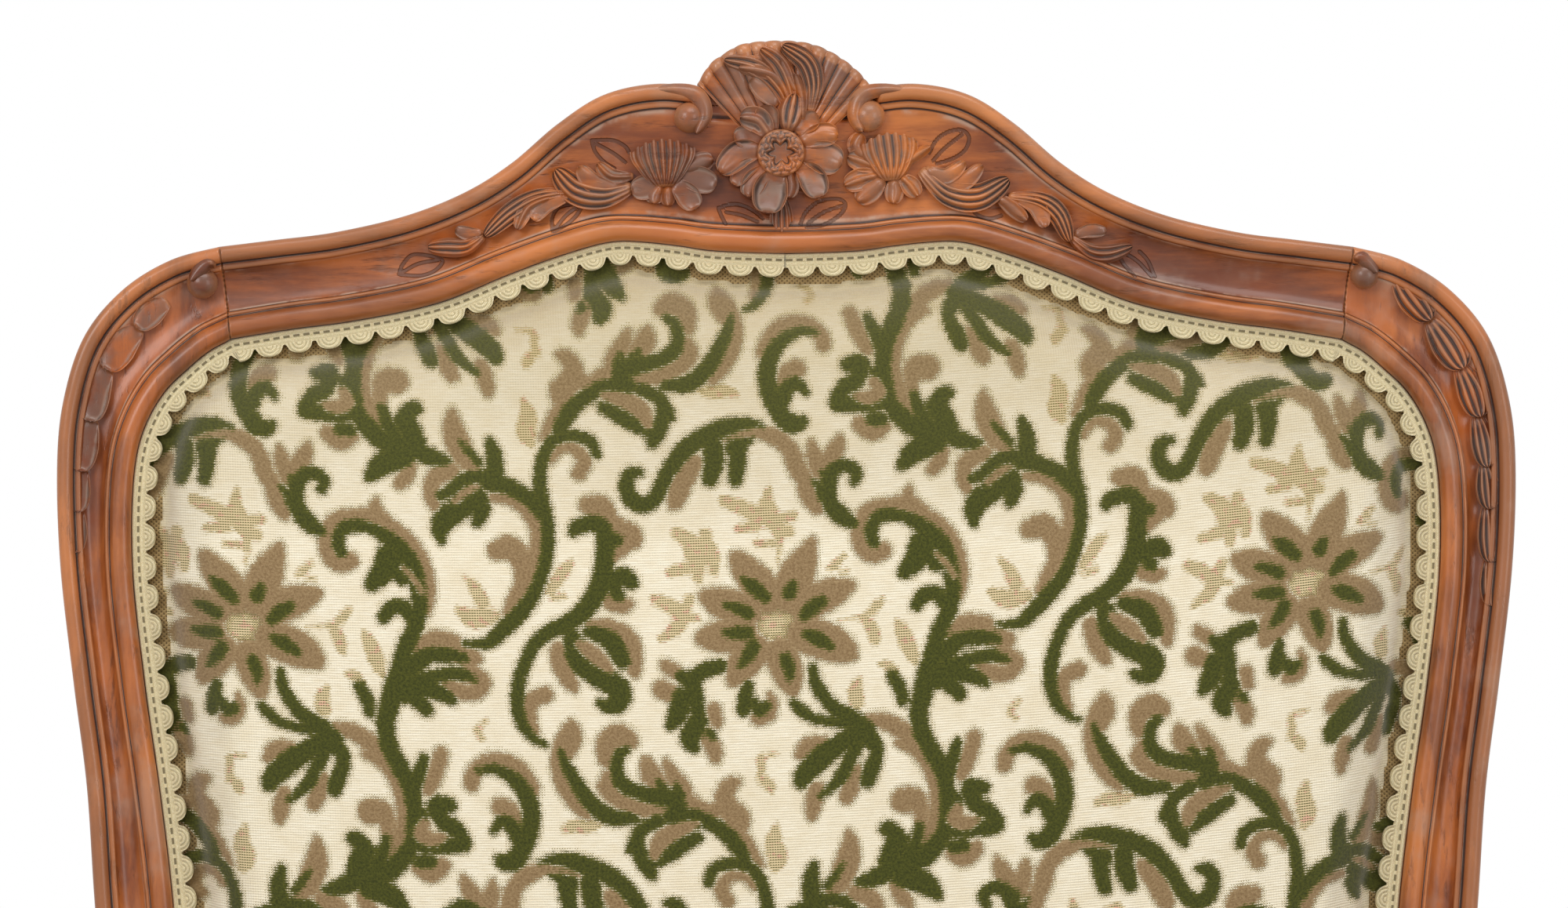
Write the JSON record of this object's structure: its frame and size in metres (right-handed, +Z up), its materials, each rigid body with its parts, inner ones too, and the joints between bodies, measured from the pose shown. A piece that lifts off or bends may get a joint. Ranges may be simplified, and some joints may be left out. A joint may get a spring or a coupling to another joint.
{
  "type": "fauteuil",
  "caption": "Upholstered open armchair with a flat leaning back, a moulded and carved walnut frame, padded arms and cabriole legs",
  "frame": {"origin": "on the floor under the middle of the whole chair's box", "axes": "+X runs across to the chair's left side as one faces it from the front, that is to the viewer's right; +Y points to the rear; +Z is up; the seat faces -Y"},
  "size_m": [0.6794, 0.6402, 1.0434],
  "materials": {
    "walnut": "waxed red-brown walnut",
    "cut_velvet": "cream ground with scrolling green and taupe cut pile",
    "gimp_braid": "pale yellow-cream scalloped braid",
    "horsehair_stuffing": "stitched curled hair in a canvas",
    "jute_webbing": "woven jute strap",
    "hessian": "open jute cloth",
    "outside_back_cloth": "plain cream cloth"
  },
  "bodies": {
    "root": {"crest_rail": "walnut", "back_bottom_rail": "walnut", "back_post_right": "walnut", "back_post_left": "walnut", "seat_front_rail": "walnut", "seat_side_rail_right": "walnut", "seat_side_rail_left": "walnut", "seat_rear_rail": "walnut", "front_leg_right": "walnut", "front_leg_left": "walnut", "arm_right": "walnut", "arm_left": "walnut", "arm_support_right": "walnut", "arm_support_left": "walnut", "joint_pegs": "walnut", "corner_block_front_right": "walnut", "corner_block_front_left": "walnut", "corner_block_rear_right": "walnut", "corner_block_rear_left": "walnut", "back_cover": "cut_velvet", "seat_cover": "cut_velvet", "arm_pad_cover_right": "cut_velvet", "arm_pad_cover_left": "cut_velvet", "back_gimp": "gimp_braid", "outside_back_gimp": "gimp_braid", "seat_gimp": "gimp_braid", "arm_gimp_right": "gimp_braid", "arm_gimp_left": "gimp_braid", "back_padding": "horsehair_stuffing", "seat_padding": "horsehair_stuffing", "arm_padding_right": "horsehair_stuffing", "arm_padding_left": "horsehair_stuffing", "back_webbing": "jute_webbing", "seat_webbing": "jute_webbing", "back_hessian": "hessian", "seat_hessian": "hessian", "outside_back_cover": "outside_back_cloth"}
  },
  "joints": []
}
